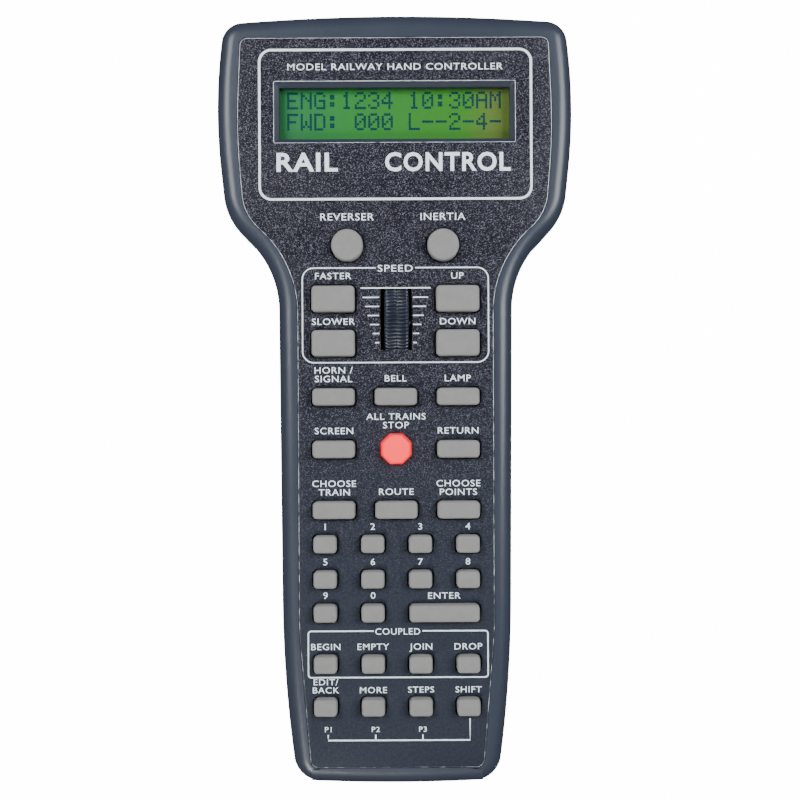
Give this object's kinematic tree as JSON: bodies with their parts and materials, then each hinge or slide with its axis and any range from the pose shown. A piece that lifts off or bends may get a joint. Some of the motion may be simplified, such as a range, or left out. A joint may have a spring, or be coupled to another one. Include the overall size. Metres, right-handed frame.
{
  "type": "train set controller",
  "caption": "Hand-held model railway controller with a wide display head, silicone keypad, speed thumbwheel and cord socket.",
  "frame": {"origin": "centre of the rear face, on the surface that the controller lies on", "axes": "+Z out of the front face, +Y towards the display end, +X to the right as the keys are read"},
  "size_m": [0.0958, 0.2069, 0.0325],
  "materials": {
    "case_plastic": "satin moulded ABS, dark blue-grey",
    "overlay_film": "finely textured polycarbonate film with white print",
    "key_rubber": "matte warm grey silicone",
    "stop_rubber": "matte light red silicone",
    "circuit_board": "green solder mask on glass-epoxy board",
    "contact_metal": "gold-plated",
    "chip_plastic": "black moulded epoxy",
    "chip_ceramic": "ceramic",
    "bright_metal": "bright metal can",
    "capacitor_sleeve": "dark blue sleeve",
    "blue_plastic": "blue moulded plastic",
    "black_plastic": "black moulded plastic",
    "black_metal": "black-painted sheet metal",
    "lcd_green": "yellow-green display glass over its polariser",
    "diffuser_plastic": "pale light guide",
    "ribbon_plastic": "grey flat cable",
    "screw_steel": "plated steel",
    "dark_steel": "blackened steel"
  },
  "bodies": {
    "case": {"front_shell": "case_plastic", "rear_shell": "case_plastic", "panel_overlay": "overlay_film", "keypad_mat": "key_rubber", "main_board": "circuit_board", "key_contact_pads": "contact_metal", "microcontroller": "chip_plastic", "transceiver_chip": "chip_plastic", "crystal": "bright_metal", "voltage_regulator": "chip_plastic", "filter_capacitor": "capacitor_sleeve", "chip_parts": "chip_ceramic", "contrast_trimmer": "blue_plastic", "cord_jack": "black_plastic", "cord_jack_contacts": "contact_metal", "lcd_board": "circuit_board", "lcd_frame": "black_metal", "lcd_glass": "lcd_green", "lcd_backlight": "diffuser_plastic", "lcd_ribbon": "ribbon_plastic", "lcd_screws": "screw_steel", "board_screws": "screw_steel", "case_screws": "dark_steel", "speed_pot_body": "blue_plastic"},
    "thumbwheel": {"thumbwheel": "black_plastic", "speed_pot_shaft": "screw_steel"},
    "key_direction": {"key_direction": "key_rubber"},
    "key_momentum": {"key_momentum": "key_rubber"},
    "key_speed_up_fast": {"key_speed_up_fast": "key_rubber"},
    "key_speed_up": {"key_speed_up": "key_rubber"},
    "key_speed_down_fast": {"key_speed_down_fast": "key_rubber"},
    "key_speed_down": {"key_speed_down": "key_rubber"},
    "key_horn": {"key_horn": "key_rubber"},
    "key_bell": {"key_bell": "key_rubber"},
    "key_headlight": {"key_headlight": "key_rubber"},
    "key_option": {"key_option": "key_rubber"},
    "key_emergency_stop": {"key_emergency_stop": "stop_rubber"},
    "key_recall": {"key_recall": "key_rubber"},
    "key_select_loco": {"key_select_loco": "key_rubber"},
    "key_macro": {"key_macro": "key_rubber"},
    "key_select_accessory": {"key_select_accessory": "key_rubber"},
    "key_1": {"key_1": "key_rubber"},
    "key_2": {"key_2": "key_rubber"},
    "key_3": {"key_3": "key_rubber"},
    "key_4": {"key_4": "key_rubber"},
    "key_5": {"key_5": "key_rubber"},
    "key_6": {"key_6": "key_rubber"},
    "key_7": {"key_7": "key_rubber"},
    "key_8": {"key_8": "key_rubber"},
    "key_9": {"key_9": "key_rubber"},
    "key_0": {"key_0": "key_rubber"},
    "key_enter": {"key_enter": "key_rubber"},
    "key_setup": {"key_setup": "key_rubber"},
    "key_clear": {"key_clear": "key_rubber"},
    "key_add": {"key_add": "key_rubber"},
    "key_delete": {"key_delete": "key_rubber"},
    "key_program": {"key_program": "key_rubber"},
    "key_expand": {"key_expand": "key_rubber"},
    "key_steps": {"key_steps": "key_rubber"},
    "key_shift": {"key_shift": "key_rubber"}
  },
  "joints": [
    {"name": "thumbwheel_turn", "type": "hinge", "parent": "case", "child": "thumbwheel", "pos_m": [0, 0.0214, 0.02], "axis": [-1, 0, 0], "range_deg": [0, 270]},
    {"name": "press_direction", "type": "slide", "parent": "case", "child": "key_direction", "axis": [0, 0, -1], "range_m": [0, 0.001], "stiffness_N_per_m": 1000},
    {"name": "press_momentum", "type": "slide", "parent": "case", "child": "key_momentum", "axis": [0, 0, -1], "range_m": [0, 0.001], "stiffness_N_per_m": 1000},
    {"name": "press_speed_up_fast", "type": "slide", "parent": "case", "child": "key_speed_up_fast", "axis": [0, 0, -1], "range_m": [0, 0.001], "stiffness_N_per_m": 1000},
    {"name": "press_speed_up", "type": "slide", "parent": "case", "child": "key_speed_up", "axis": [0, 0, -1], "range_m": [0, 0.001], "stiffness_N_per_m": 1000},
    {"name": "press_speed_down_fast", "type": "slide", "parent": "case", "child": "key_speed_down_fast", "axis": [0, 0, -1], "range_m": [0, 0.001], "stiffness_N_per_m": 1000},
    {"name": "press_speed_down", "type": "slide", "parent": "case", "child": "key_speed_down", "axis": [0, 0, -1], "range_m": [0, 0.001], "stiffness_N_per_m": 1000},
    {"name": "press_horn", "type": "slide", "parent": "case", "child": "key_horn", "axis": [0, 0, -1], "range_m": [0, 0.001], "stiffness_N_per_m": 1000},
    {"name": "press_bell", "type": "slide", "parent": "case", "child": "key_bell", "axis": [0, 0, -1], "range_m": [0, 0.001], "stiffness_N_per_m": 1000},
    {"name": "press_headlight", "type": "slide", "parent": "case", "child": "key_headlight", "axis": [0, 0, -1], "range_m": [0, 0.001], "stiffness_N_per_m": 1000},
    {"name": "press_option", "type": "slide", "parent": "case", "child": "key_option", "axis": [0, 0, -1], "range_m": [0, 0.001], "stiffness_N_per_m": 1000},
    {"name": "press_emergency_stop", "type": "slide", "parent": "case", "child": "key_emergency_stop", "axis": [0, 0, -1], "range_m": [0, 0.001], "stiffness_N_per_m": 1000},
    {"name": "press_recall", "type": "slide", "parent": "case", "child": "key_recall", "axis": [0, 0, -1], "range_m": [0, 0.001], "stiffness_N_per_m": 1000},
    {"name": "press_select_loco", "type": "slide", "parent": "case", "child": "key_select_loco", "axis": [0, 0, -1], "range_m": [0, 0.001], "stiffness_N_per_m": 1000},
    {"name": "press_macro", "type": "slide", "parent": "case", "child": "key_macro", "axis": [0, 0, -1], "range_m": [0, 0.001], "stiffness_N_per_m": 1000},
    {"name": "press_select_accessory", "type": "slide", "parent": "case", "child": "key_select_accessory", "axis": [0, 0, -1], "range_m": [0, 0.001], "stiffness_N_per_m": 1000},
    {"name": "press_1", "type": "slide", "parent": "case", "child": "key_1", "axis": [0, 0, -1], "range_m": [0, 0.001], "stiffness_N_per_m": 1000},
    {"name": "press_2", "type": "slide", "parent": "case", "child": "key_2", "axis": [0, 0, -1], "range_m": [0, 0.001], "stiffness_N_per_m": 1000},
    {"name": "press_3", "type": "slide", "parent": "case", "child": "key_3", "axis": [0, 0, -1], "range_m": [0, 0.001], "stiffness_N_per_m": 1000},
    {"name": "press_4", "type": "slide", "parent": "case", "child": "key_4", "axis": [0, 0, -1], "range_m": [0, 0.001], "stiffness_N_per_m": 1000},
    {"name": "press_5", "type": "slide", "parent": "case", "child": "key_5", "axis": [0, 0, -1], "range_m": [0, 0.001], "stiffness_N_per_m": 1000},
    {"name": "press_6", "type": "slide", "parent": "case", "child": "key_6", "axis": [0, 0, -1], "range_m": [0, 0.001], "stiffness_N_per_m": 1000},
    {"name": "press_7", "type": "slide", "parent": "case", "child": "key_7", "axis": [0, 0, -1], "range_m": [0, 0.001], "stiffness_N_per_m": 1000},
    {"name": "press_8", "type": "slide", "parent": "case", "child": "key_8", "axis": [0, 0, -1], "range_m": [0, 0.001], "stiffness_N_per_m": 1000},
    {"name": "press_9", "type": "slide", "parent": "case", "child": "key_9", "axis": [0, 0, -1], "range_m": [0, 0.001], "stiffness_N_per_m": 1000},
    {"name": "press_0", "type": "slide", "parent": "case", "child": "key_0", "axis": [0, 0, -1], "range_m": [0, 0.001], "stiffness_N_per_m": 1000},
    {"name": "press_enter", "type": "slide", "parent": "case", "child": "key_enter", "axis": [0, 0, -1], "range_m": [0, 0.001], "stiffness_N_per_m": 1000},
    {"name": "press_setup", "type": "slide", "parent": "case", "child": "key_setup", "axis": [0, 0, -1], "range_m": [0, 0.001], "stiffness_N_per_m": 1000},
    {"name": "press_clear", "type": "slide", "parent": "case", "child": "key_clear", "axis": [0, 0, -1], "range_m": [0, 0.001], "stiffness_N_per_m": 1000},
    {"name": "press_add", "type": "slide", "parent": "case", "child": "key_add", "axis": [0, 0, -1], "range_m": [0, 0.001], "stiffness_N_per_m": 1000},
    {"name": "press_delete", "type": "slide", "parent": "case", "child": "key_delete", "axis": [0, 0, -1], "range_m": [0, 0.001], "stiffness_N_per_m": 1000},
    {"name": "press_program", "type": "slide", "parent": "case", "child": "key_program", "axis": [0, 0, -1], "range_m": [0, 0.001], "stiffness_N_per_m": 1000},
    {"name": "press_expand", "type": "slide", "parent": "case", "child": "key_expand", "axis": [0, 0, -1], "range_m": [0, 0.001], "stiffness_N_per_m": 1000},
    {"name": "press_steps", "type": "slide", "parent": "case", "child": "key_steps", "axis": [0, 0, -1], "range_m": [0, 0.001], "stiffness_N_per_m": 1000},
    {"name": "press_shift", "type": "slide", "parent": "case", "child": "key_shift", "axis": [0, 0, -1], "range_m": [0, 0.001], "stiffness_N_per_m": 1000}
  ]
}
